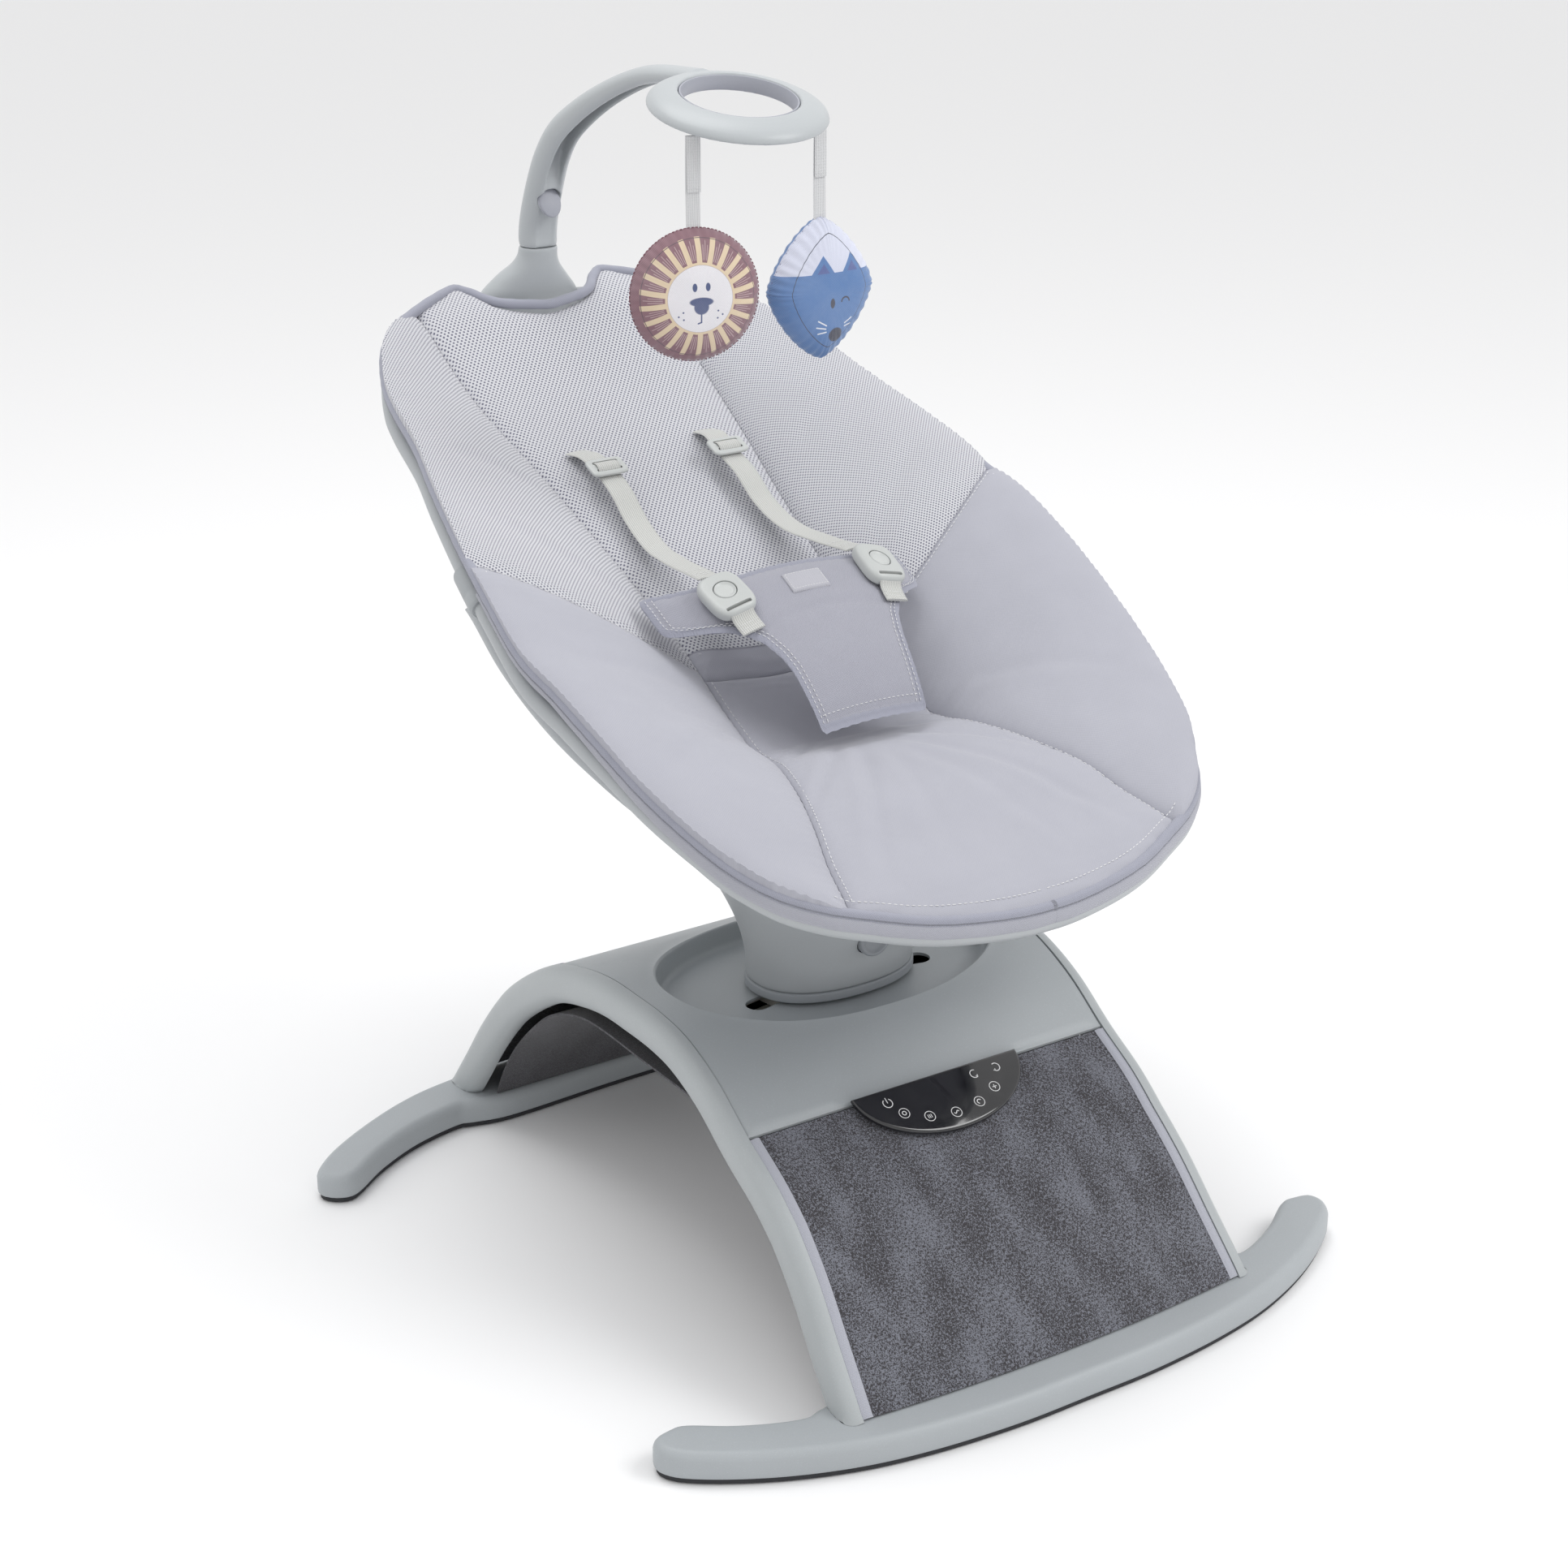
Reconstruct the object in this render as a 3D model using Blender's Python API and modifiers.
"""Baby swing: arched base with a sway drive, pedestal, reclining seat with harness, swivelling toy bar."""
import math

import bmesh
import bpy
import numpy as np
from mathutils import Matrix, Vector

# Driving dimensions, metres. The arch is centred on y = 0 before the whole frame is moved by FRAME_Y.
FRAME_Y = -0.0774
GAP = 0.0004
PAD_TOP = 0.004
FOOT_TOP = 0.025
RAIL_INNER_X = 0.163
RAIL_FOOT_X = 0.172
RAIL_WIDTH = 0.013
RAIL_DEPTH = 0.031
COVER_CROWN = 0.007
TRAY_CENTRE_Y = 0.0105
TRAY_HALF = (0.142, 0.0875)
TRAY_FLOOR = 0.202
SWAY_Y = -0.330
SWAY_RADIUS = 0.330
RACK_RADIUS = 0.360
PINION_RADIUS = 0.015
MODULE = 0.002
RECLINE_Y = 0.020
RECLINE_Z = 0.395
SADDLE_RADIUS = 0.125
SADDLE_HALF_LENGTH = 0.140
BUTTON_Z = 0.257
STEM_Y = 0.447
STEM_SEAM = 0.697
RING_CENTRE = (0.0, 0.131, 0.857)
RING_TILT = math.radians(12)
TOY_HINGE = (0.055, 0.106, 0.8445)
RIBBON_TOP = 0.8427
SEAT_SLOPE = math.atan(0.43)

# Outer edge of the arch, (y, z) from the rear foot to the front foot.
ARCH = np.array([
    (0.314, 0.0256), (0.289, 0.0625), (0.264, 0.100), (0.232, 0.138), (0.190, 0.171), (0.147, 0.196),
    (0.104, 0.210), (0.064, 0.218), (0.025, 0.220), (-0.014, 0.220), (-0.051, 0.2145), (-0.092, 0.198),
    (-0.133, 0.1715), (-0.178, 0.1455), (-0.225, 0.106), (-0.261, 0.066), (-0.284, 0.0405), (-0.297, 0.0256),
])
# Seat rim, (half width, y, z) from the foot end to the head end.
RIM = np.array([
    (0.020, -0.270, 0.371), (0.064, -0.264, 0.374), (0.098, -0.255, 0.378), (0.129, -0.242, 0.384),
    (0.159, -0.228, 0.391), (0.184, -0.208, 0.399), (0.201, -0.183, 0.409), (0.216, -0.156, 0.424),
    (0.230, -0.105, 0.447), (0.239, -0.046, 0.474), (0.244, -0.008, 0.491), (0.249, 0.036, 0.508),
    (0.245, 0.091, 0.534), (0.236, 0.150, 0.557), (0.222, 0.218, 0.581), (0.210, 0.269, 0.599),
    (0.201, 0.324, 0.616), (0.192, 0.358, 0.627), (0.173, 0.399, 0.642), (0.149, 0.429, 0.653),
    (0.124, 0.447, 0.660), (0.094, 0.462, 0.667), (0.070, 0.472, 0.670),
])
NOTCH = [(0.056, 0.464, 0.667), (0.038, 0.445, 0.660), (0.000, 0.434, 0.656)]
# How far the pad hangs under the rim on the centre line, (y, depth).
BUCKET = np.array([
    (-0.262, 0.002), (-0.200, 0.010), (-0.150, 0.018), (-0.100, 0.035), (-0.060, 0.055), (-0.030, 0.075),
    (0.000, 0.085), (0.100, 0.075), (0.200, 0.060), (0.290, 0.045), (0.360, 0.033), (0.400, 0.021),
    (0.432, 0.008), (0.470, 0.003),
])
# Seam between the centre panels and the side bolsters, (y, half width).
SEAM = np.array([
    (-0.230, 0.142), (-0.171, 0.125), (-0.100, 0.100), (-0.033, 0.082), (0.050, 0.078), (0.136, 0.082),
    (0.233, 0.092), (0.337, 0.105), (0.470, 0.118),
])
PAD_THICKNESS = 0.010
PAD_INSET = 0.0165
WAIST_Y = 0.060


def clear_scene():
    for obj in list(bpy.data.objects):
        bpy.data.objects.remove(obj)


clear_scene()
PARTS = bpy.data.collections.new("baby_swing")
CUTTERS = bpy.data.collections.new("baby_swing_cutters")
bpy.context.scene.collection.children.link(PARTS)
bpy.context.scene.collection.children.link(CUTTERS)


def material(name, colour, roughness, metallic=0.0):
    made = bpy.data.materials.new(name)
    made.use_nodes = True
    shader = made.node_tree.nodes["Principled BSDF"]
    shader.inputs["Base Color"].default_value = (*colour, 1.0)
    shader.inputs["Roughness"].default_value = roughness
    shader.inputs["Metallic"].default_value = metallic
    made.diffuse_color = (*colour, 1.0)
    return made


LOOKS = {
    "plastic": ((0.48, 0.51, 0.53), 0.45, 0.0),
    "rubber": ((0.08, 0.08, 0.09), 0.85, 0.0),
    "textile": ((0.055, 0.052, 0.065), 0.95, 0.0),
    "gloss_black": ((0.006, 0.006, 0.007), 0.08, 0.0),
    "board": ((0.02, 0.16, 0.07), 0.5, 0.0),
    "dark_plastic": ((0.05, 0.05, 0.055), 0.5, 0.0),
    "steel": ((0.6, 0.6, 0.62), 0.35, 1.0),
    "acetal": ((0.8, 0.8, 0.78), 0.4, 0.0),
    "fabric": ((0.56, 0.56, 0.63), 0.95, 0.0),
    "mesh_fabric": ((0.74, 0.74, 0.78), 0.95, 0.0),
    "binding": ((0.42, 0.45, 0.55), 0.9, 0.0),
    "webbing": ((0.68, 0.69, 0.66), 0.85, 0.0),
    "mauve": ((0.21, 0.09, 0.11), 0.9, 0.0),
    "blue_plush": ((0.07, 0.18, 0.42), 0.9, 0.0),
}


def empty(name, location, parent=None):
    """A joint's frame: location is given with the arch centred on y = 0."""
    made = bpy.data.objects.new(name, None)
    made.empty_display_size = 0.03
    PARTS.objects.link(made)
    place = Vector(location) + Vector((0.0, FRAME_Y, 0.0))
    made.parent = parent
    made.location = place - (WORLD[parent.name] if parent else Vector())
    WORLD[name] = place
    return made


WORLD = {}


def new_object(name, mesh, collection):
    made = bpy.data.objects.new(name, mesh)
    collection.objects.link(made)
    return made


def finish(obj, look, parent, smooth=True):
    """Gives a part its own material, moves its origin to its parent's frame and attaches it."""
    colour, roughness, metallic = LOOKS[look]
    obj.data.materials.clear()
    obj.data.materials.append(material(f"{obj.name}_{look}", colour, roughness, metallic))
    origin = WORLD[parent.name] - Vector((0.0, FRAME_Y, 0.0))
    obj.data.transform(Matrix.Translation(-origin))
    obj.parent = parent
    if smooth:
        obj.data.polygons.foreach_set("use_smooth", [True] * len(obj.data.polygons))
        obj.data.set_sharp_from_angle(angle=math.radians(40))
    return obj


def mesh_object(name, build, collection=None):
    mesh = bpy.data.meshes.new(name)
    work = bmesh.new()
    build(work)
    bmesh.ops.recalc_face_normals(work, faces=work.faces)
    work.to_mesh(mesh)
    work.free()
    return new_object(name, mesh, collection or PARTS)


def loft(name, rings, collection=None):
    """A closed body through rings of equal point counts, its ends capped."""

    def build(work):
        rows = [[work.verts.new(point) for point in ring] for ring in rings]
        for low, high in zip(rows, rows[1:]):
            count = len(low)
            for i in range(count):
                work.faces.new((low[i], low[(i + 1) % count], high[(i + 1) % count], high[i]))
        work.faces.new(list(reversed(rows[0])))
        work.faces.new(rows[-1])

    return mesh_object(name, build, collection)


def slab(name, top, bottom, collection=None):
    """A closed body between two grids of points, rows by columns."""

    def build(work):
        upper = [[work.verts.new(point) for point in row] for row in top]
        lower = [[work.verts.new(point) for point in row] for row in bottom]
        last_row, last_col = len(upper) - 1, len(upper[0]) - 1
        for i in range(last_row):
            for j in range(last_col):
                work.faces.new((upper[i][j], upper[i][j + 1], upper[i + 1][j + 1], upper[i + 1][j]))
                work.faces.new((lower[i][j], lower[i + 1][j], lower[i + 1][j + 1], lower[i][j + 1]))
        for i in range(last_row):
            work.faces.new((upper[i][0], upper[i + 1][0], lower[i + 1][0], lower[i][0]))
            work.faces.new((upper[i][last_col], lower[i][last_col], lower[i + 1][last_col], upper[i + 1][last_col]))
        for j in range(last_col):
            work.faces.new((upper[0][j], lower[0][j], lower[0][j + 1], upper[0][j + 1]))
            work.faces.new((upper[last_row][j], upper[last_row][j + 1], lower[last_row][j + 1], lower[last_row][j]))

    return mesh_object(name, build, collection)


def prism(name, outline, low, high, collection=None):
    """An outline in x and y carried from one height to the other."""
    return loft(name, [[(x, y, z) for x, y in outline] for z in (low, high)], collection)


def cylinder(name, radius, depth, centre, axis="Z", sides=32, collection=None):
    turn = {"Z": Matrix(), "Y": Matrix.Rotation(math.pi / 2, 4, "X"), "X": Matrix.Rotation(math.pi / 2, 4, "Y")}

    def build(work):
        bmesh.ops.create_cone(
            work, cap_ends=True, segments=sides, radius1=radius, radius2=radius, depth=depth,
            matrix=Matrix.Translation(centre) @ turn[axis],
        )

    return mesh_object(name, build, collection)


def block(name, size, centre, collection=None, turn=None):
    def build(work):
        place = Matrix.Translation(centre) @ (turn or Matrix()) @ Matrix.Diagonal((*size, 1.0))
        bmesh.ops.create_cube(work, size=1.0, matrix=place)

    return mesh_object(name, build, collection)


def apply_modifiers(obj):
    graph = bpy.context.evaluated_depsgraph_get()
    mesh = bpy.data.meshes.new_from_object(obj.evaluated_get(graph))
    obj.modifiers.clear()
    obj.data = mesh
    return obj


def boolean(obj, other, operation):
    modifier = obj.modifiers.new(operation.lower(), "BOOLEAN")
    modifier.operation = operation
    modifier.solver = "EXACT"
    modifier.object = other
    apply_modifiers(obj)
    bpy.data.objects.remove(other)
    return obj


def cut(obj, other):
    return boolean(obj, other, "DIFFERENCE")


def join(obj, other):
    return boolean(obj, other, "UNION")


def bevel(obj, width, segments=2, angle=35):
    modifier = obj.modifiers.new("bevel", "BEVEL")
    modifier.width = width
    modifier.segments = segments
    modifier.limit_method = "ANGLE"
    modifier.angle_limit = math.radians(angle)
    return apply_modifiers(obj)


def lathe(name, profile, steps=32, collection=None, merge=0.00005):
    """A Screw about Z of a closed or axis-to-axis profile of (radius, z)."""
    mesh = bpy.data.meshes.new(name)
    closed = profile[0] != profile[-1]
    points = [(radius, 0.0, z) for radius, z in (profile if closed else profile[:-1])]
    count = len(points)
    edges = [(i, i + 1) for i in range(count - 1)]
    on_axis = points[0][0] < merge and points[-1][0] < merge
    if not on_axis:
        edges.append((count - 1, 0))
    mesh.from_pydata(points, edges, [])
    obj = new_object(name, mesh, collection or PARTS)
    screw = obj.modifiers.new("turn", "SCREW")
    screw.steps = screw.render_steps = steps
    screw.use_merge_vertices = True
    screw.merge_threshold = merge
    apply_modifiers(obj)
    work = bmesh.new()
    work.from_mesh(obj.data)
    bmesh.ops.recalc_face_normals(work, faces=work.faces)
    work.to_mesh(obj.data)
    work.free()
    return obj


def tube(name, points, radius, cyclic=False, sides=2, collection=None):
    """A round bar along points, made from a bevelled curve with its caps welded."""
    curve = bpy.data.curves.new(name, "CURVE")
    curve.dimensions = "3D"
    curve.bevel_depth = radius
    curve.bevel_resolution = sides
    curve.use_fill_caps = True
    spline = curve.splines.new("POLY")
    spline.points.add(len(points) - 1)
    for knot, point in zip(spline.points, points):
        knot.co = (*point, 1.0)
    spline.use_cyclic_u = cyclic
    guide = new_object(name + "_guide", curve, CUTTERS)
    graph = bpy.context.evaluated_depsgraph_get()
    mesh = bpy.data.meshes.new_from_object(guide.evaluated_get(graph))
    bpy.data.objects.remove(guide)
    work = bmesh.new()
    work.from_mesh(mesh)
    bmesh.ops.remove_doubles(work, verts=work.verts, dist=0.00001)
    bmesh.ops.recalc_face_normals(work, faces=work.faces)
    work.to_mesh(mesh)
    work.free()
    mesh.name = name
    return new_object(name, mesh, collection or PARTS)


def smooth_path(points, count):
    """Points spread evenly along a Catmull-Rom curve through the given ones."""
    given = np.array(points, float)
    ends = np.vstack([2 * given[0] - given[1], given, 2 * given[-1] - given[-2]])
    fine = []
    for i in range(1, len(ends) - 2):
        for t in np.linspace(0.0, 1.0, 12, endpoint=False):
            a, b, c, d = ends[i - 1 : i + 3]
            fine.append(0.5 * (2 * b + (c - a) * t + (2 * a - 5 * b + 4 * c - d) * t**2
                               + (3 * b - a - 3 * c + d) * t**3))
    fine.append(given[-1])
    fine = np.array(fine)
    length = np.concatenate([[0.0], np.cumsum(np.linalg.norm(np.diff(fine, axis=0), axis=1))])
    wanted = np.linspace(0.0, length[-1], count)
    return np.stack([np.interp(wanted, length, fine[:, k]) for k in range(given.shape[1])], axis=1)


def interp(table, at):
    return float(np.interp(at, table[:, 0], table[:, 1]))


def oval(half_x, half_y, centre_y, power, count):
    """A superellipse of the given power, anticlockwise."""
    points = []
    for i in range(count):
        turn = 2 * math.pi * i / count
        cx, sy = math.cos(turn), math.sin(turn)
        points.append((half_x * math.copysign(abs(cx) ** (2 / power), cx),
                       centre_y + half_y * math.copysign(abs(sy) ** (2 / power), sy)))
    return points


def mirrored(half):
    """A closed outline from its right half, listed from the centre line round to the centre line."""
    return list(half) + [(-x, y) for x, y in reversed(half) if abs(x) > 1e-9]


base = empty("swing_base", (0.0, 0.0, 0.0))
pedestal = empty("pedestal", (0.0, SWAY_Y, TRAY_FLOOR), base)
seat = empty("seat", (0.0, RECLINE_Y, RECLINE_Z), pedestal)
toy_bar = empty("toy_bar", (0.0, STEM_Y, STEM_SEAM), seat)


# Feet: two bowed strips, each on a rubber sole.
FRONT_FOOT = [
    (0.0, -0.334), (0.050, -0.334), (0.091, -0.3315), (0.130, -0.327), (0.170, -0.3195), (0.205, -0.309),
    (0.240, -0.2945), (0.272, -0.277), (0.296, -0.260), (0.3055, -0.248), (0.307, -0.238), (0.302, -0.229),
    (0.290, -0.2255), (0.276, -0.2265), (0.248, -0.245), (0.222, -0.258), (0.200, -0.265), (0.188, -0.262),
    (0.153, -0.258), (0.080, -0.259), (0.0, -0.262),
]
REAR_FOOT = [
    (0.0, 0.265), (0.060, 0.2635), (0.150, 0.259), (0.185, 0.265), (0.200, 0.268), (0.243, 0.257),
    (0.283, 0.237), (0.314, 0.2145), (0.326, 0.210), (0.338, 0.215), (0.345, 0.225), (0.342, 0.237),
    (0.325, 0.254), (0.302, 0.270), (0.272, 0.287), (0.239, 0.302), (0.205, 0.312), (0.150, 0.320),
    (0.080, 0.3265), (0.0, 0.3275),
]
SOLE_INSET = 0.994
for side, half in (("front", FRONT_FOOT), ("rear", REAR_FOOT)):
    outline = mirrored(half)
    foot = prism(f"{side}_foot", outline, PAD_TOP + GAP, FOOT_TOP)
    bevel(foot, 0.004, 2, 60)
    finish(foot, "plastic", base)
    middle_y = sum(y for _, y in half) / len(half)
    inset = [(x * SOLE_INSET, middle_y + (y - middle_y) * 0.96) for x, y in outline]
    finish(prism(f"{side}_foot_sole", inset, 0.0, PAD_TOP), "rubber", base)


# Side rails: rounded bars whose section is widest at the feet.
ARCH_PATH = smooth_path(ARCH, 24)


def arch_frames(path):
    """Each point of the path with its unit vector towards the inside of the arch."""
    tangent = np.gradient(path, axis=0)
    tangent /= np.linalg.norm(tangent, axis=1)[:, None]
    inward = np.stack([-tangent[:, 1], tangent[:, 0]], axis=1)
    return [(point, direction) for point, direction in zip(path, inward)]


def rail_x(z):
    return RAIL_INNER_X + (RAIL_FOOT_X - RAIL_INNER_X) * min(1.0, max(0.0, (0.13 - z) / 0.10))


RAIL_SECTION = [(0.0, 0.0), (0.35, 0.01), (0.70, 0.09), (0.93, 0.27), (1.0, 0.50), (0.93, 0.75), (0.70, 0.93),
                (0.35, 1.0), (0.0, 1.0)]


def rail(name, side):
    rings = []
    for (y, z), (inward_y, inward_z) in arch_frames(ARCH_PATH):
        ring = []
        for across, down in RAIL_SECTION:
            depth = RAIL_DEPTH * down
            point_z = max(z + inward_z * depth, FOOT_TOP + GAP)
            ring.append((side * (rail_x(z) + RAIL_WIDTH * across), y + inward_y * depth, point_z))
        rings.append(ring)
    return finish(loft(name, rings), "plastic", base)


rail("rail_left", -1)
rail("rail_right", 1)


# Top cover with the tray moulded into it; the slot lets the pedestal's neck travel.
def arch_z(y):
    order = ARCH_PATH[::-1]
    return float(np.interp(y, order[:, 0], order[:, 1]))


def cover_top(x, y):
    edge = min(1.0, (y + 0.1325) / 0.05, (0.150 - y) / 0.05)
    return arch_z(y) + COVER_CROWN * (1 - (x / RAIL_INNER_X) ** 2) * max(0.0, edge) - 0.0005


cover_y = smooth_path([(-0.132,), (0.0,), (0.150,)], 17)[:, 0]
cover_x = [RAIL_INNER_X * u - math.copysign(GAP, u) for u in np.linspace(-1, 1, 11)]
cover_grid = [[(x, y, cover_top(x, y)) for x in cover_x] for y in cover_y]
cover = slab("top_cover", cover_grid, [[(x, y, z - 0.003) for x, y, z in row] for row in cover_grid])
tray_outline = oval(TRAY_HALF[0] + 0.0025, TRAY_HALF[1] + 0.0025, TRAY_CENTRE_Y, 2.3, 36)
tray_inner = oval(TRAY_HALF[0], TRAY_HALF[1], TRAY_CENTRE_Y, 2.3, 36)
tray_foot = oval(TRAY_HALF[0] - 0.006, TRAY_HALF[1] - 0.006, TRAY_CENTRE_Y, 2.3, 36)
join(cover, loft("tray_cup", [[(x * 0.955, y * 0.955, TRAY_FLOOR - 0.0025) for x, y in tray_outline],
                              [(x, y, 0.2085) for x, y in tray_outline]], CUTTERS))
cut(cover, loft("tray_well", [[(x, y, TRAY_FLOOR) for x, y in tray_foot], [(x, y, 0.2075) for x, y in tray_inner],
                              [(x, y, 0.2600) for x, y in tray_inner]], CUTTERS))


def arc_band(inner, outer, half_angle, low, high, name, collection=None, steps=14):
    """A flat sector about the sway axis."""
    angles = np.linspace(-half_angle, half_angle, steps)
    outline = [(inner * math.sin(a), SWAY_Y + inner * math.cos(a)) for a in angles]
    outline += [(outer * math.sin(a), SWAY_Y + outer * math.cos(a)) for a in angles[::-1]]
    return prism(name, outline, low, high, collection)


SLOT_HALF = math.radians(14.6)
cut(cover, arc_band(SWAY_RADIUS - 0.0095, SWAY_RADIUS + 0.0095, SLOT_HALF, 0.19, 0.215, "tray_slot", CUTTERS))
finish(cover, "plastic", base)


# Stretched textile over the front and rear of the arch, and the lining under it.
def textile(name, y_from, y_to, thickness=0.0018):
    rows_y = np.linspace(y_from, y_to, 12)
    top, bottom = [], []
    order = ARCH_PATH[::-1]
    for y in rows_y:
        z = float(np.interp(y, order[:, 0], order[:, 1]))
        slope = (arch_z(y + 0.002) - arch_z(y - 0.002)) / 0.004
        down = Vector((0.0, slope, -1.0)).normalized()
        width = rail_x(z) - 0.0008
        row = [Vector((width * u, y, z)) for u in np.linspace(-1, 1, 9)]
        bow = [Vector((0.0, 0.0, 0.0)) for _ in row]
        if z < 0.1:
            share = (0.1 - z) / 0.075
            bow = [Vector((0.0, math.copysign(0.009, y) * share * (1 - (p.x / width) ** 2), 0.0)) for p in row]
        top.append([p + down * 0.0012 + b for p, b in zip(row, bow)])
        bottom.append([p + down * (0.0012 + thickness) + b for p, b in zip(row, bow)])
    for rows in (top, bottom):
        for row in rows:
            for point in row:
                point.z = max(point.z, FOOT_TOP + GAP)
    return slab(name, top, bottom)


finish(textile("front_textile", -0.2955, -0.1352), "textile", base)
rear_textile = textile("rear_textile", 0.1522, 0.3125)
INLET_SIZE, INLET_CENTRE = (0.030, 0.022, 0.016), (0.0, 0.3130, 0.0445)
INLET_WINDOW = tuple(side + 3 * GAP for side in INLET_SIZE)
cut(rear_textile, block("inlet_window", INLET_WINDOW, INLET_CENTRE, CUTTERS))
finish(rear_textile, "textile", base)
LINING = smooth_path([(0.268, 0.0258), (0.252, 0.055), (0.230, 0.085), (0.200, 0.115), (0.165, 0.143), (0.125, 0.160),
                      (0.085, 0.1665), (0.0, 0.1675), (-0.075, 0.1665), (-0.115, 0.146), (-0.160, 0.118),
                      (-0.200, 0.086), (-0.232, 0.055), (-0.254, 0.0258)], 22)
lining_top, lining_low = [], []
for (y, z), (inward_y, inward_z) in arch_frames(LINING):
    columns = np.linspace(-1, 1, 7) * (RAIL_INNER_X - 0.001)
    lining_top.append([(x, y, z) for x in columns])
    lining_low.append([(x, y + inward_y * 0.002, max(z + inward_z * 0.002, FOOT_TOP + GAP)) for x in columns])
finish(slab("underside_lining", lining_top, lining_low), "textile", base)


# Control panel on the front slope, with its board behind.
PANEL_TURN = Matrix.Rotation(math.radians(30), 4, "X")
PANEL_PLACE = Matrix.Translation((0.0, -0.1345, 0.1745)) @ PANEL_TURN


def half_disc(width, height, steps=22):
    return [(width * math.cos(a), -height * math.sin(a)) for a in np.linspace(0, math.pi, steps)]


panel = prism("control_panel", half_disc(0.075, 0.049), 0.0, 0.0042)
bevel(panel, 0.0012, 2, 60)
panel.data.transform(PANEL_PLACE)
finish(panel, "gloss_black", base)
finish(block("control_board", (0.090, 0.030, 0.0016), (0.0, -0.150, 0.148), turn=PANEL_TURN), "board", base)


# Drive under the tray: housing, arc track, motor, pinion.
HOUSING_LOW, HOUSING_HIGH = 0.170, 0.1990
housing_outer = oval(0.150, 0.068, 0.0105, 3.2, 36)
housing_inner = oval(0.1475, 0.0655, 0.0105, 3.2, 36)
housing = prism("drive_housing", housing_outer, HOUSING_LOW, HOUSING_HIGH)
cut(housing, prism("housing_void", housing_inner, HOUSING_LOW + 0.002, HOUSING_HIGH + 0.01, CUTTERS))
finish(housing, "dark_plastic", base)
track = arc_band(0.312, 0.348, math.radians(19.5), 0.1830, 0.1862, "arc_track")
cut(track, arc_band(SWAY_RADIUS - 0.0085, SWAY_RADIUS + 0.0085, math.radians(15.5), 0.17, 0.2, "track_slot", CUTTERS))
finish(track, "steel", base)
PINION_Y = SWAY_Y + RACK_RADIUS + PINION_RADIUS
motor = cylinder("drive_motor", 0.0245, 0.0095, (0.0, PINION_Y + 0.002, 0.1772), sides=32)
bevel(motor, 0.001, 1, 60)
finish(motor, "steel", base)
inlet = block("power_inlet", INLET_SIZE, INLET_CENTRE)
bevel(inlet, 0.0015, 2, 60)
cut(inlet, cylinder("inlet_bore", 0.0035, 0.014, (0.0, 0.3250, 0.0445), "Y", 20, CUTTERS))
finish(inlet, "dark_plastic", base)


def toothed(radius, teeth_over, count, outward, centre):
    """Points of a toothed edge: teeth_over radians holding count teeth about the centre."""
    points = []
    pitch = teeth_over / count
    for i in range(count):
        middle = -teeth_over / 2 + (i + 0.5) * pitch
        for share, height in ((-0.33, -1.2), (-0.14, 0.82), (0.14, 0.82), (0.33, -1.2)):
            angle = middle + share * pitch
            at = radius + outward * height * MODULE
            points.append((centre[0] + at * math.sin(angle), centre[1] + at * math.cos(angle)))
    return points


RACK_TEETH = 26
rack_edge = toothed(RACK_RADIUS, math.radians(RACK_TEETH), RACK_TEETH, 1, (0.0, SWAY_Y))
rack_back = [((RACK_RADIUS - 0.009) * math.sin(a), SWAY_Y + (RACK_RADIUS - 0.009) * math.cos(a))
             for a in np.linspace(math.radians(13), -math.radians(13), 14)]
finish(prism("sway_rack", rack_edge + rack_back, 0.1905, 0.1960), "acetal", pedestal)
PINION_TEETH = 15
pinion_frame = empty("pinion", (0.0, PINION_Y, 0.193), base)
pinion_edge = toothed(PINION_RADIUS, 2 * math.pi, PINION_TEETH, 1, (0.0, 0.0))


def turned(points, angle, centre):
    c, s = math.cos(angle), math.sin(angle)
    return [(centre[0] + x * c - y * s, centre[1] + x * s + y * c) for x, y in points]


# The rack has a gap on the centre line, so the pinion starts with a tooth on it.
pinion_disc = prism("drive_pinion", turned(pinion_edge, math.pi, (0.0, PINION_Y)), 0.1900, 0.1965)
join(pinion_disc, cylinder("pinion_shaft", 0.003, 0.0135, (0.0, PINION_Y, 0.1895), sides=16, collection=CUTTERS))
finish(pinion_disc, "acetal", pinion_frame)


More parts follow.
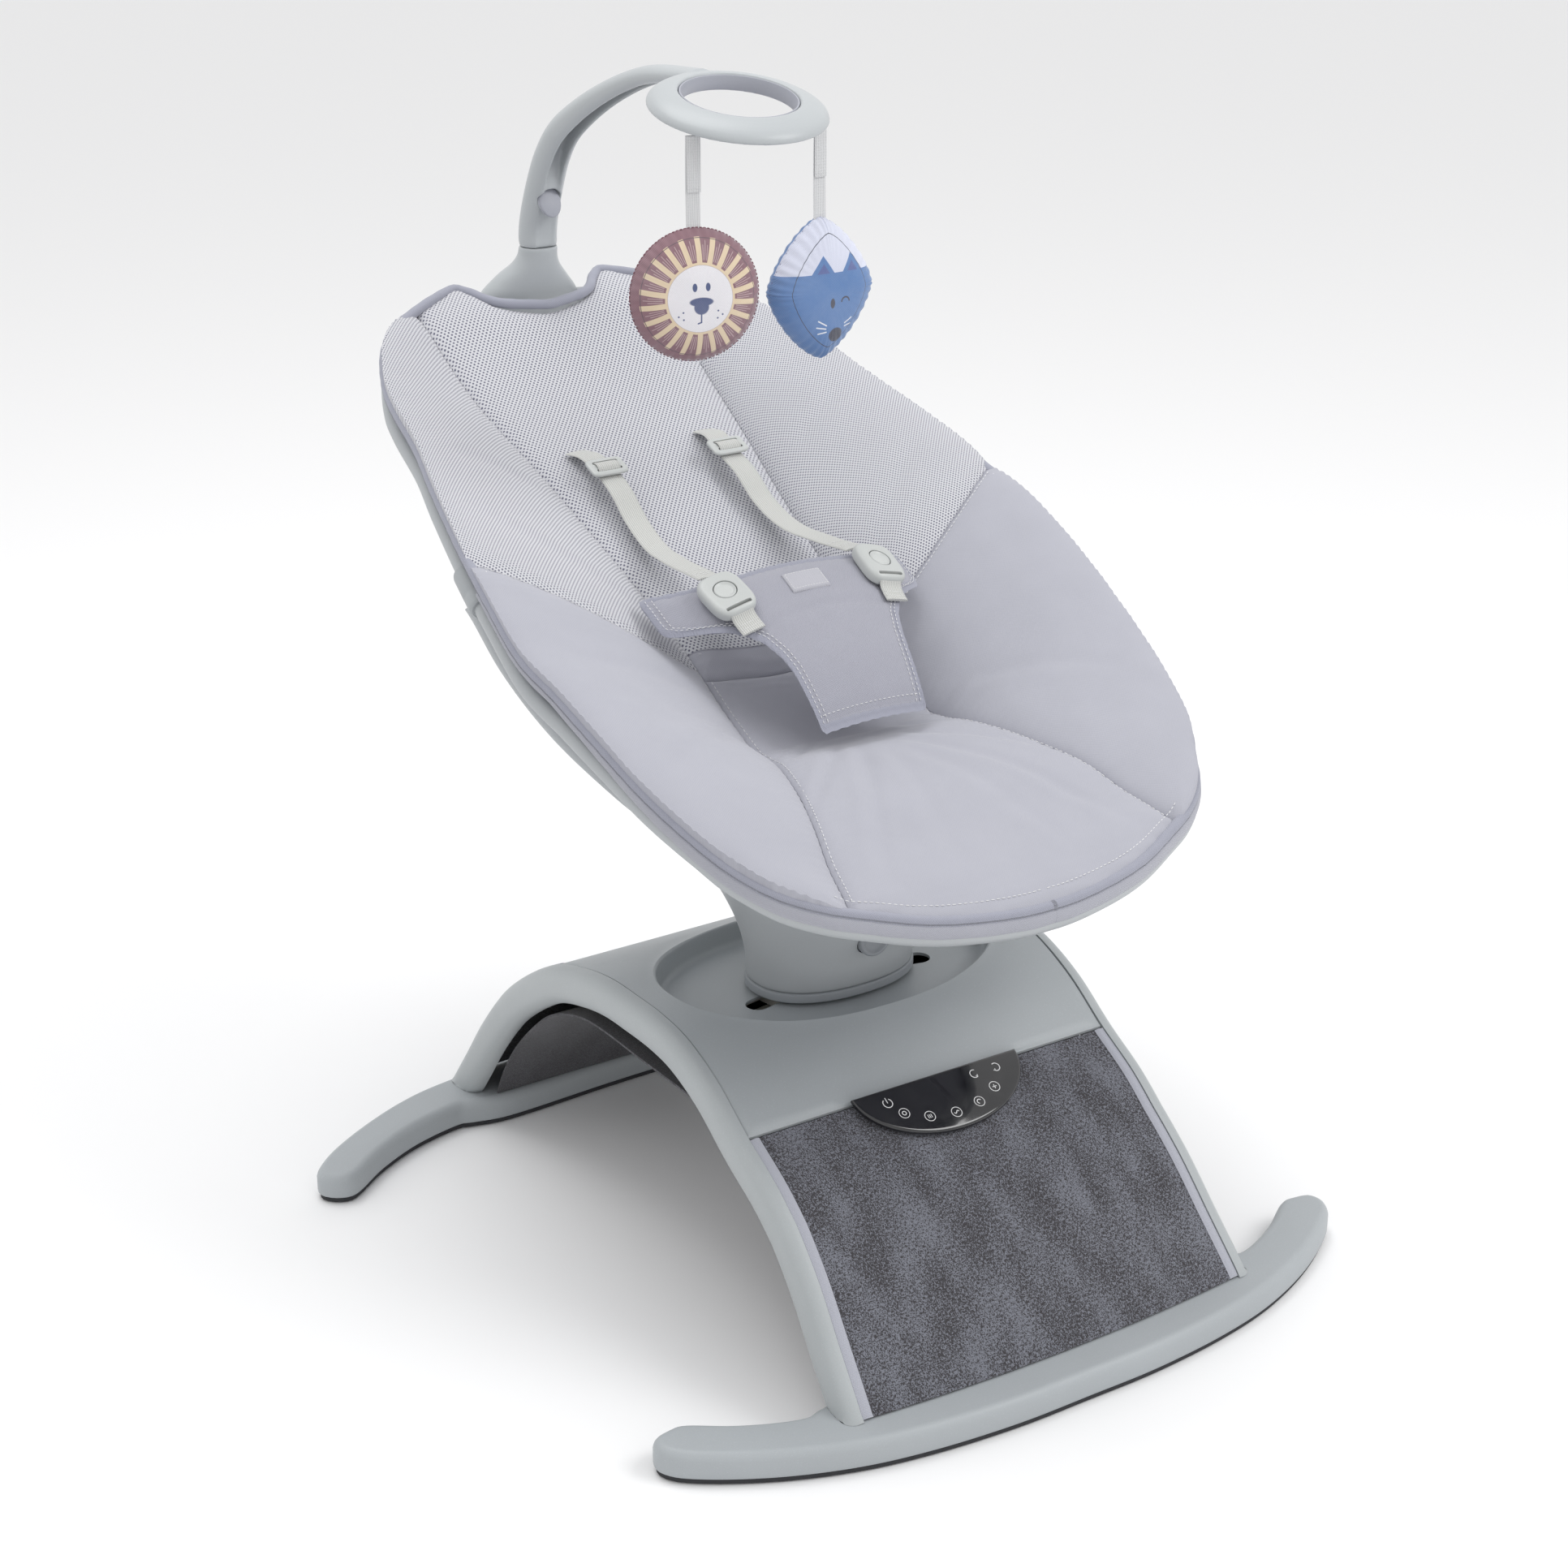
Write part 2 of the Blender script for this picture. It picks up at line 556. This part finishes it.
# Carriage: plate and neck that carry the pedestal through the slot, on two rollers.
carriage = arc_band(0.312, 0.3505, math.radians(9.5), 0.1905, 0.1965, "sway_carriage", steps=10)
NECK = (0.017, 0.0150)
join(carriage, block("neck", (*NECK, 0.0270), (0.0, 0.0, 0.1907), CUTTERS))
join(carriage, block("keeper", (0.034, 0.030, 0.0030), (0.0, 0.0, 0.1787), CUTTERS))
ROLLER_X, ROLLER_Z, ROLLER_RADIUS = 0.034, 0.1935, 0.0055
ROLLER_ANGLE = math.asin(ROLLER_X / SWAY_RADIUS)
ROLLER_Y = SWAY_Y + SWAY_RADIUS * math.cos(ROLLER_ANGLE)
ROLLER_FRAMES = {}
for name, side in (("left", -1), ("right", 1)):
    centre = (side * ROLLER_X, ROLLER_Y, ROLLER_Z)
    turn = Matrix.Rotation(-side * ROLLER_ANGLE, 4, "Z")
    cut(carriage, block(f"roller_window_{name}", (0.0135, 0.012, 0.02), centre, CUTTERS, turn))
    bore = cylinder(f"axle_bore_{name}", 0.0018, 0.0222, (0.0, 0.0, 0.0), "Y", 16, CUTTERS)
    bore.data.transform(Matrix.Translation(centre) @ turn)
    cut(carriage, bore)
    frame = empty(f"roller_{name}", centre, pedestal)
    roller = cylinder(f"sway_roller_{name}", ROLLER_RADIUS, 0.0105, (0.0, 0.0, 0.0), "Y", 24)
    join(roller, cylinder("axle", 0.0014, 0.0206, (0.0, 0.0, 0.0), "Y", 12, CUTTERS))
    roller.data.transform(Matrix.Translation(centre) @ turn)
    ROLLER_FRAMES[name] = finish(roller, "acetal", frame)
finish(carriage, "dark_plastic", pedestal, smooth=False)


# Pedestal: band at the foot, trunk with a cradle for the saddle.
TRUNK = [(0.2130, 0.0695, -0.0420, 0.0525), (0.2280, 0.0690, -0.0440, 0.0550), (0.2450, 0.0710, -0.0500, 0.0620),
         (0.2620, 0.0755, -0.0580, 0.0720), (0.2800, 0.0830, -0.0665, 0.0830), (0.3000, 0.0930, -0.0740, 0.0930),
         (0.3250, 0.1030, -0.0800, 0.1010)]


def trunk_rings(wall):
    rings = []
    for z, half, front, rear in TRUNK:
        outline = oval(half - wall, (rear - front) / 2 - wall, (rear + front) / 2, 2.25, 32)
        rings.append([(x, y, z) for x, y in outline])
    return rings


band_outline = oval(0.0705, 0.0478, 0.00525, 2.25, 32)
band = prism("pedestal_band", band_outline, 0.2046, 0.2126)
bevel(band, 0.0012, 1, 60)
finish(band, "plastic", pedestal)


def saddle_body(name, grow, collection):
    steps = 14
    profile = []
    for i in range(steps + 1):
        angle = math.pi * i / steps
        profile.append(((SADDLE_RADIUS + grow) * math.sin(angle), (SADDLE_HALF_LENGTH + grow) * math.cos(angle)))
    body = lathe(name, profile, 30, collection)
    place = Matrix.Translation((0.0, RECLINE_Y, RECLINE_Z)) @ Matrix.Rotation(math.pi / 2, 4, "Y")
    body.data.transform(place)
    return body


def half_space(name, point, slope, above, collection):
    """A big block whose lower or upper face is a plane falling towards the front."""
    size = 0.6
    turn = Matrix.Rotation(math.atan(slope), 4, "X")
    offset = turn @ Vector((0.0, 0.0, size / 2 if above else -size / 2))
    return block(name, (size, size, size), Vector(point) + offset, collection, turn)


trunk = loft("pedestal_shell", trunk_rings(0.0))
inner_rings = trunk_rings(0.003)
inner_rings[0] = [(x, y, 0.2100) for x, y, _ in inner_rings[0]]
cut(trunk, loft("trunk_void", inner_rings[:4] + [[(x, y, 0.266) for x, y, _ in inner_rings[3]]], CUTTERS))
cut(trunk, saddle_body("cradle", 0.0010, CUTTERS))
cut(trunk, half_space("trunk_top", (0.0, -0.020, 0.2870), 0.38, True, CUTTERS))
cut(trunk, cylinder("button_hole", 0.0146, 0.05, (0.0, -0.050, BUTTON_Z), "Y", 32, CUTTERS))
finish(trunk, "plastic", pedestal)

# Recline release: round button with its latch rod and return spring.
button_frame = empty("release", (0.0, -0.0580, BUTTON_Z), pedestal)
button = cylinder("release_button", 0.0140, 0.0095, (0.0, -0.0535, BUTTON_Z), "Y", 36)
bevel(button, 0.001, 2, 60)
dish = lathe("button_dish", [(0.0, 0.0), (0.0, 0.003), (0.011, 0.003), (0.0105, 0.0014), (0.007, 0.0004)], 36, CUTTERS)
dish.data.transform(Matrix.Translation((0.0, -0.0570, BUTTON_Z)) @ Matrix.Rotation(math.pi / 2, 4, "X"))
cut(button, dish)
finish(button, "plastic", button_frame)
rod = cylinder("latch_rod", 0.0028, 0.052, (0.0, -0.0225, BUTTON_Z), "Y", 16)
finish(rod, "steel", button_frame)
coil = []
TURNS, PER_TURN = 5, 9
for i in range(TURNS * PER_TURN + 1):
    angle = 2 * math.pi * i / PER_TURN
    coil.append((0.0052 * math.cos(angle), -0.0430 + 0.021 * i / (TURNS * PER_TURN), BUTTON_Z + 0.0052 * math.sin(angle)))
finish(tube("return_spring", coil, 0.0007, sides=1), "steel", pedestal)


# Saddle under the seat, the frame tubes round it and the two arms that join them.
saddle = saddle_body("seat_saddle", 0.0, PARTS)
cut(saddle, saddle_body("saddle_void", -0.003, CUTTERS))
cut(saddle, half_space("saddle_top", (0.0, 0.0, 0.3890), 0.40, True, CUTTERS))
finish(saddle, "plastic", seat)


def rim_at(y):
    order = RIM[:, 1]
    return float(np.interp(y, order, RIM[:, 0])), float(np.interp(y, order, RIM[:, 2]))


def rim_loop(inset, drop, notch):
    """The rim as a closed loop of points, moved inwards and down."""
    half = [tuple(p) for p in RIM]
    if notch:
        half += NOTCH
    points = np.array(half)
    flat = points[:, :2].copy()
    tangent = np.gradient(flat, axis=0)
    tangent /= np.linalg.norm(tangent, axis=1)[:, None]
    inward = np.stack([-tangent[:, 1], tangent[:, 0]], axis=1)
    flat += inward * inset
    right = [(x, y, z - drop) for (x, y), z in zip(flat, points[:, 2])]
    left = [(-x, y, z) for x, y, z in reversed(right) if x > 0.004]
    return right + left


TUBE_INSET, TUBE_DROP, TUBE_RADIUS = 0.0085, 0.0265, 0.0072
FOOT_RISE = 0.0085
BINDING_INSET, BINDING_DROP, BINDING_RADIUS = 0.0048, 0.0056, 0.0042
SLEEVE_Y = (0.112, 0.152)


def tube_run(from_y, head):
    """Points of one frame tube, from its left end round the head or the foot to its right end."""
    loop = rim_loop(TUBE_INSET, TUBE_DROP, False)
    right = [(x, y, z + FOOT_RISE * min(1.0, max(0.0, -y / 0.15))) for x, y, z in loop if x > 0]
    right.sort(key=lambda p: p[1])
    right = [p for p in right if (p[1] > from_y if head else p[1] < from_y)]
    width, height = rim_at(from_y)
    end = (width - TUBE_INSET, from_y, height - TUBE_DROP)
    side = ([end] + right) if head else (right + [end])
    side = side if head else side[::-1]
    left = [(-x, y, z) for x, y, z in reversed(side)]
    return side + left


finish(tube("frame_tube_head", tube_run(SLEEVE_Y[1] - 0.006, True), TUBE_RADIUS), "plastic", seat)
finish(tube("frame_tube_foot", tube_run(SLEEVE_Y[0] + 0.006, False), TUBE_RADIUS), "plastic", seat)
for name, side in (("left", -1), ("right", 1)):
    ends = [rim_at(y) for y in SLEEVE_Y]
    path = [(side * (w - TUBE_INSET), y, h - TUBE_DROP) for (w, h), y in zip(ends, SLEEVE_Y)]
    sleeve = tube(f"joint_sleeve_{name}", path, TUBE_RADIUS + 0.0034, sides=3)
    bore_path = [tuple(np.array(path[0]) * 1.3 - np.array(path[1]) * 0.3),
                 tuple(np.array(path[1]) * 1.3 - np.array(path[0]) * 0.3)]
    cut(sleeve, tube("sleeve_bore", bore_path, TUBE_RADIUS + 0.0014, sides=3, collection=CUTTERS))
    finish(sleeve, "plastic", seat)
    middle = (np.array(path[0]) + np.array(path[1])) / 2
    under = middle + np.array((side * -0.0015, 0.0, -0.0180))
    arm = tube(f"support_arm_{name}", smooth_path([
        tuple(under), (side * 0.214, 0.112, 0.468), (side * 0.186, 0.090, 0.418), (side * 0.150, 0.062, 0.372),
        (side * 0.124, 0.040, 0.345)], 12), 0.0080, sides=2)
    cut(arm, saddle_body("arm_foot", GAP, CUTTERS))
    finish(arm, "plastic", seat)


# Soft pad: four quilted panels of one surface, thin gaps at their seams.
def inset_half(y):
    """Half width of the pad at y: the rim moved inwards by PAD_INSET all round."""
    loop = sorted((p[1], p[0]) for p in rim_loop(PAD_INSET, 0.0, False) if p[0] > 0.03)
    return float(np.interp(y, [p[0] for p in loop], [p[1] for p in loop]))


def seam_x(y):
    return interp(SEAM, y)


def pad_top(x, y):
    width, height = rim_at(y)
    inner = seam_x(y)
    across = abs(x)
    if across <= inner:
        share = 1.0 - 0.10 * (across / inner) ** 2
    else:
        share = 0.90 * max(0.0, 1.0 - (across - inner) / max(width - inner, 0.004)) ** 1.6
    return height - interp(BUCKET, y) * share


def head_y(x):
    table = np.array([(p[0], p[1]) for p in reversed(NOTCH)] + [(p[0], p[1]) for p in reversed(RIM) if p[1] > 0.30])
    return float(np.interp(abs(x), table[:, 0], table[:, 1]))


def foot_y(x):
    return float(np.interp(abs(x), RIM[:12, 0], RIM[:12, 1]))


def pad_panel(name, rows, look):
    top = [[(x, y, pad_top(x, y)) for x, y in row] for row in rows]
    bottom = [[(x, y, z - PAD_THICKNESS) for x, y, z in row] for row in top]
    return finish(slab(name, top, bottom), look, seat)


back_rows = []
for t in np.linspace(0.0, 1.0, 12):
    row = []
    for u in np.linspace(-1.0, 1.0, 11):
        y_guess = WAIST_Y + GAP + (head_y(u * 0.112) - PAD_INSET - WAIST_Y) * t
        row.append((u * (seam_x(y_guess) - GAP), y_guess))
    back_rows.append(row)
pad_panel("back_panel", back_rows, "mesh_fabric")
seat_rows = []
for t in np.linspace(0.0, 1.0, 11):
    row = []
    for u in np.linspace(-1.0, 1.0, 11):
        y_guess = WAIST_Y - GAP + (foot_y(u * 0.142) + PAD_INSET - WAIST_Y) * t
        row.append((u * (seam_x(y_guess) - GAP), y_guess))
    seat_rows.append(row)
pad_panel("seat_panel", seat_rows, "fabric")
for name, side in (("left", -1), ("right", 1)):
    rows = []
    for y in smooth_path([(-0.214,), (0.0,), (0.432,)], 18)[:, 0]:
        inner = seam_x(y) + 4 * GAP
        outer = max(inset_half(y), inner + 0.002)
        rows.append([(side * (inner + (outer - inner) * s), y) for s in (0.0, 0.2, 0.4, 0.6, 0.8, 1.0)])
    pad_panel(f"bolster_{name}", rows, "mesh_fabric")
finish(tube("rim_binding", rim_loop(BINDING_INSET, BINDING_DROP, True), BINDING_RADIUS, cyclic=True), "binding", seat)


# Harness: padded crotch piece with its waist band, straps, adjusters, buckles and loops.
CROTCH = [(0.066, 0.524, 0.113), (0.050, 0.5195, 0.116), (0.027, 0.5085, 0.113), (0.021, 0.5055, 0.078),
          (0.005, 0.4965, 0.060), (-0.020, 0.478, 0.051), (-0.040, 0.456, 0.048), (-0.052, 0.4385, 0.047)]
CROTCH_THICKNESS = 0.006
WAIST_DROP, WAIST_SWEEP, WAIST_HALF = 0.018, 0.030, 0.115
top, bottom = [], []
for y, z, width in CROTCH:
    row = []
    for u in np.linspace(-1, 1, 13):
        x = width * u
        sweep = WAIST_SWEEP * (max(0.0, abs(x) - 0.045) / 0.070) ** 2
        row.append((x, y + sweep, z - WAIST_DROP * (x / WAIST_HALF) ** 2))
    top.append(row)
    bottom.append([(x, y - 0.0022, h - CROTCH_THICKNESS) for x, y, h in row])
finish(slab("crotch_panel", top, bottom), "fabric", seat)

STRAP_WIDTH, STRAP_THICKNESS = 0.020, 0.0016
STRAP_PATH = [(0.060, 0.283, 0.5665), (0.058, 0.262, 0.5680), (0.056, 0.240, 0.5600), (0.057, 0.216, 0.5500),
              (0.058, 0.190, 0.5320), (0.060, 0.155, 0.5195), (0.063, 0.110, 0.5190), (0.066, 0.070, 0.5215)]


def strip(name, path, width, thickness, look, parent, steps=18):
    """A flat band whose width lies along x."""
    points = smooth_path(path, steps)
    tangent = np.gradient(points, axis=0)
    top, bottom = [], []
    for point, along in zip(points, tangent):
        up = np.array((0.0, -along[2], along[1]))
        up /= np.linalg.norm(up) * (1 if up[2] > 0 else -1)
        top.append([tuple(point + up * thickness / 2 + np.array((s * width / 2, 0.0, 0.0))) for s in (-1, 0, 1)])
        bottom.append([tuple(point - up * thickness / 2 + np.array((s * width / 2, 0.0, 0.0))) for s in (-1, 0, 1)])
    return finish(slab(name, top, bottom), look, parent)


BUCKLE_ROLL = math.radians(13)
BUCKLE = (0.0685, 0.0430, 0.5160)
for name, side in (("left", -1), ("right", 1)):
    strip(f"shoulder_strap_{name}", [(side * x, y, z) for x, y, z in STRAP_PATH], STRAP_WIDTH, STRAP_THICKNESS,
          "webbing", seat)
    adjuster_turn = Matrix.Rotation(math.radians(22), 4, "X")
    adjuster_centre = (side * 0.0560, 0.2400, 0.5645)
    adjuster = block(f"strap_adjuster_{name}", (0.032, 0.020, 0.003), adjuster_centre, turn=adjuster_turn)
    bevel(adjuster, 0.0014, 2, 60)
    for offset in (-0.0045, 0.0045):
        slot_centre = Vector(adjuster_centre) + adjuster_turn @ Vector((0.0, offset, 0.0))
        cut(adjuster, block("adjuster_slot", (0.0225, 0.0035, 0.02), slot_centre, CUTTERS, adjuster_turn))
    finish(adjuster, "plastic", seat)
    centre = Vector((side * BUCKLE[0], BUCKLE[1], BUCKLE[2]))
    tilt = Matrix.Rotation(side * BUCKLE_ROLL, 4, "Y") @ Matrix.Rotation(SEAT_SLOPE, 4, "X")
    outline = oval(0.0175, 0.0215, 0.0, 4.0, 28)
    buckle = prism(f"buckle_{name}", outline, -0.0050, 0.0050)
    bevel(buckle, 0.0018, 2, 60)
    cut(buckle, cylinder("button_pocket", 0.0092, 0.0080, (0.0, 0.002, 0.0020), sides=28, collection=CUTTERS))
    cut(buckle, block("bar_slot", (0.0220, 0.0034, 0.03), (0.0, -0.0165, 0.0), CUTTERS))
    buckle.data.transform(Matrix.Translation(centre) @ tilt)
    finish(buckle, "plastic", seat)
    frame = empty(f"buckle_release_{name}", centre, seat)
    key = cylinder(f"buckle_button_{name}", 0.0086, 0.0046, (0.0, 0.002, 0.0026), sides=28)
    bevel(key, 0.0007, 1, 60)
    key.data.transform(Matrix.Translation(centre) @ tilt)
    finish(key, "plastic", frame)
    loop_path = [Vector((0.0, -0.0235, -0.0035)), Vector((0.0, -0.0300, -0.0050)), Vector((0.0, -0.0370, -0.0055))]
    strip(f"webbing_loop_{name}", [tuple(centre + tilt @ p) for p in loop_path], STRAP_WIDTH, STRAP_THICKNESS,
          "webbing", seat, 5)


# Collar that carries the toy bar at the head of the seat.
def tilted_oval(half_x, half_y, centre, tilt, count=28, power=2.0):
    turn = Matrix.Rotation(tilt, 4, "X")
    return [tuple(Vector(centre) + turn @ Vector((x, y, 0.0))) for x, y in oval(half_x, half_y, 0.0, power, count)]


collar = loft("bar_collar", [
    tilted_oval(0.0400, 0.0150, (0.0, 0.4730, 0.6190), 0.30), tilted_oval(0.0480, 0.0185, (0.0, 0.4710, 0.6350), 0.28),
    tilted_oval(0.0460, 0.0205, (0.0, 0.4680, 0.6520), 0.24), tilted_oval(0.0330, 0.0195, (0.0, 0.4610, 0.6680), 0.18),
    tilted_oval(0.0215, 0.0170, (0.0, 0.4530, 0.6800), 0.10), tilted_oval(0.0168, 0.0158, (0.0, 0.4490, 0.6890), 0.03),
    tilted_oval(0.0162, 0.0155, (0.0, STEM_Y, STEM_SEAM - GAP / 2), 0.0)])
relief = tube("collar_relief", rim_loop(TUBE_INSET, TUBE_DROP, False), TUBE_RADIUS + 0.0006, cyclic=True,
              sides=3, collection=CUTTERS)
cut(collar, relief)
relief = tube("binding_relief", rim_loop(BINDING_INSET, BINDING_DROP, True), BINDING_RADIUS + 0.0006, cyclic=True, sides=3, collection=CUTTERS)
cut(collar, relief)
finish(collar, "plastic", seat)


# Toy bar: channelled arm and hoop in one moulding, a lining ring and the plug at the channel's end.
ARM = [(0.447, 0.6972), (0.447, 0.708), (0.443, 0.724), (0.432, 0.750), (0.418, 0.775), (0.397, 0.798), (0.365, 0.818),
       (0.327, 0.8365), (0.284, 0.8530), (0.245, 0.8630), (0.186, 0.8695)]
ARM_HALF = [(0.0162, 0.0155), (0.0162, 0.0155), (0.0160, 0.0153), (0.0156, 0.0148), (0.0150, 0.0140), (0.0144, 0.0128),
            (0.0138, 0.0112), (0.0132, 0.0098), (0.0128, 0.0086), (0.0126, 0.0076), (0.0120, 0.0056)]
ARM_GROOVE = [0.02, 0.02, 0.02, 0.02, 0.55, 0.90, 1.0, 1.0, 1.0, 0.9, 0.05]


def arm_rings():
    steps = 18
    path = smooth_path(ARM, steps)
    stations = np.linspace(0.0, 1.0, len(ARM))
    length = np.concatenate([[0.0], np.cumsum(np.linalg.norm(np.diff(np.array(ARM), axis=0), axis=1))])
    stations = length / length[-1]
    at = np.linspace(0.0, 1.0, steps)
    halves = np.stack([np.interp(at, stations, [h[k] for h in ARM_HALF]) for k in range(2)], axis=1)
    grooves = np.interp(at, stations, ARM_GROOVE)
    tangent = np.gradient(path, axis=0)
    tangent[0] = (0.0, 1.0)
    tangent /= np.linalg.norm(tangent, axis=1)[:, None]
    rings = []
    for (y, z), (ty, tz), (wide, thick), groove in zip(path, tangent, halves, grooves):
        back = (tz, -ty)
        ring = []
        for angle in np.radians([-58, -35, 0, 35, 65, 90, 115, 145, 180, 215, 238]):
            ring.append((wide * math.cos(angle), thick * math.sin(angle)))
        lip = -thick * math.sin(math.radians(58))
        floor = lip + max(0.0006, (thick * 0.55 - lip) * groove)
        half = wide * 0.42
        ring += [(-half * 1.05, lip), (-half * (1.0 + 0.35 * groove), floor), (half * (1.0 + 0.35 * groove), floor),
                 (half * 1.05, lip)]
        rings.append([(a, y + back[0] * b, z + back[1] * b) for a, b in ring])
    return rings


arm = loft("toy_bar_arm", arm_rings())
HOOP = [(0.0450, -0.0062), (0.0450, 0.0062), (0.0475, 0.0070), (0.0550, 0.0052), (0.0625, 0.0018), (0.0668, -0.0025),
        (0.0678, -0.0048), (0.0666, -0.0066), (0.0645, -0.0070), (0.0470, -0.0070)]
hoop = lathe("hoop", HOOP, 36, CUTTERS)
HOOP_PLACE = Matrix.Translation(RING_CENTRE) @ Matrix.Rotation(RING_TILT, 4, "X")
hoop.data.transform(HOOP_PLACE)
join(arm, hoop)
plug = loft("stem_plug", [tilted_oval(0.0095, 0.0125, (0.0, 0.4222, 0.7365), math.radians(68), 20),
                          tilted_oval(0.0105, 0.0140, (0.0, 0.4262, 0.7380), math.radians(68), 20)])
pocket = loft("plug_pocket", [tilted_oval(0.0110, 0.0145, (0.0, 0.4100, 0.7322), math.radians(68), 20),
                              tilted_oval(0.0110, 0.0145, (0.0, 0.4267, 0.7382), math.radians(68), 20)], CUTTERS)
cut(arm, pocket)
finish(arm, "plastic", toy_bar)
finish(plug, "plastic", toy_bar)
liner = lathe("hoop_liner", [(0.0430, -0.0055), (0.0430, 0.0058), (0.0446, 0.0058), (0.0446, -0.0055)], 36)
liner.data.transform(HOOP_PLACE)
finish(liner, "plastic", toy_bar)


# Two hanging toys, each on a ribbon that swings from the hoop.
RIBBON_WIDTH, RIBBON_THICKNESS = 0.011, 0.0016
LION_RADIUS, LION_Z = 0.0494, 0.7276
CAT_HALF, CAT_Z = (0.0462, 0.0540), 0.7190


def ribbon(name, x, low, frame, turn):
    piece = block(name, (RIBBON_WIDTH, RIBBON_THICKNESS, RIBBON_TOP - low), (0.0, 0.0, 0.0))
    piece.data.transform(Matrix.Translation((x, TOY_HINGE[1], (RIBBON_TOP + low) / 2)) @ turn)
    return finish(piece, "webbing", frame)


lion_turn = Matrix.Rotation(math.radians(-15), 4, "Z")
lion_frame = empty("lion_toy", (-TOY_HINGE[0], TOY_HINGE[1], TOY_HINGE[2]), toy_bar)
ribbon("lion_ribbon", -TOY_HINGE[0], LION_Z + LION_RADIUS + GAP, lion_frame, lion_turn)
lion_profile = [(0.0, 0.0180), (0.019, 0.0172), (0.034, 0.0142), (0.044, 0.0090), (LION_RADIUS, 0.0)]
lion_profile += [(r, -z) for r, z in reversed(lion_profile[:-1])]
lion = lathe("lion_cushion", lion_profile, 32)
lion.data.transform(Matrix.Translation((-TOY_HINGE[0], TOY_HINGE[1], LION_Z)) @ lion_turn @ Matrix.Rotation(math.pi / 2, 4, "X"))
finish(lion, "mauve", lion_frame)

cat_frame = empty("cat_toy", TOY_HINGE, toy_bar)
ribbon("cat_ribbon", TOY_HINGE[0], CAT_Z + CAT_HALF[1] + GAP, cat_frame, Matrix())


def diamond(scale):
    points = []
    for i in range(32):
        angle = 2 * math.pi * i / 32
        cx, sy = math.cos(angle), math.sin(angle)
        points.append((CAT_HALF[0] * scale * math.copysign(abs(cx) ** 1.45, cx),
                       CAT_HALF[1] * scale * math.copysign(abs(sy) ** 1.45, sy)))
    return points


cat_rings = []
for depth, scale in ((-0.0165, 0.55), (-0.0150, 0.80), (-0.0110, 0.96), (-0.0060, 1.0), (0.0060, 1.0), (0.0110, 0.96),
                     (0.0150, 0.80), (0.0165, 0.55)):
    cat_rings.append([(TOY_HINGE[0] + x, TOY_HINGE[1] + depth, CAT_Z + z) for x, z in diamond(scale)])
finish(loft("cat_cushion", cat_rings), "blue_plush", cat_frame)

for helper in CUTTERS.objects:
    helper.hide_render = True
    helper.display_type = "WIRE"
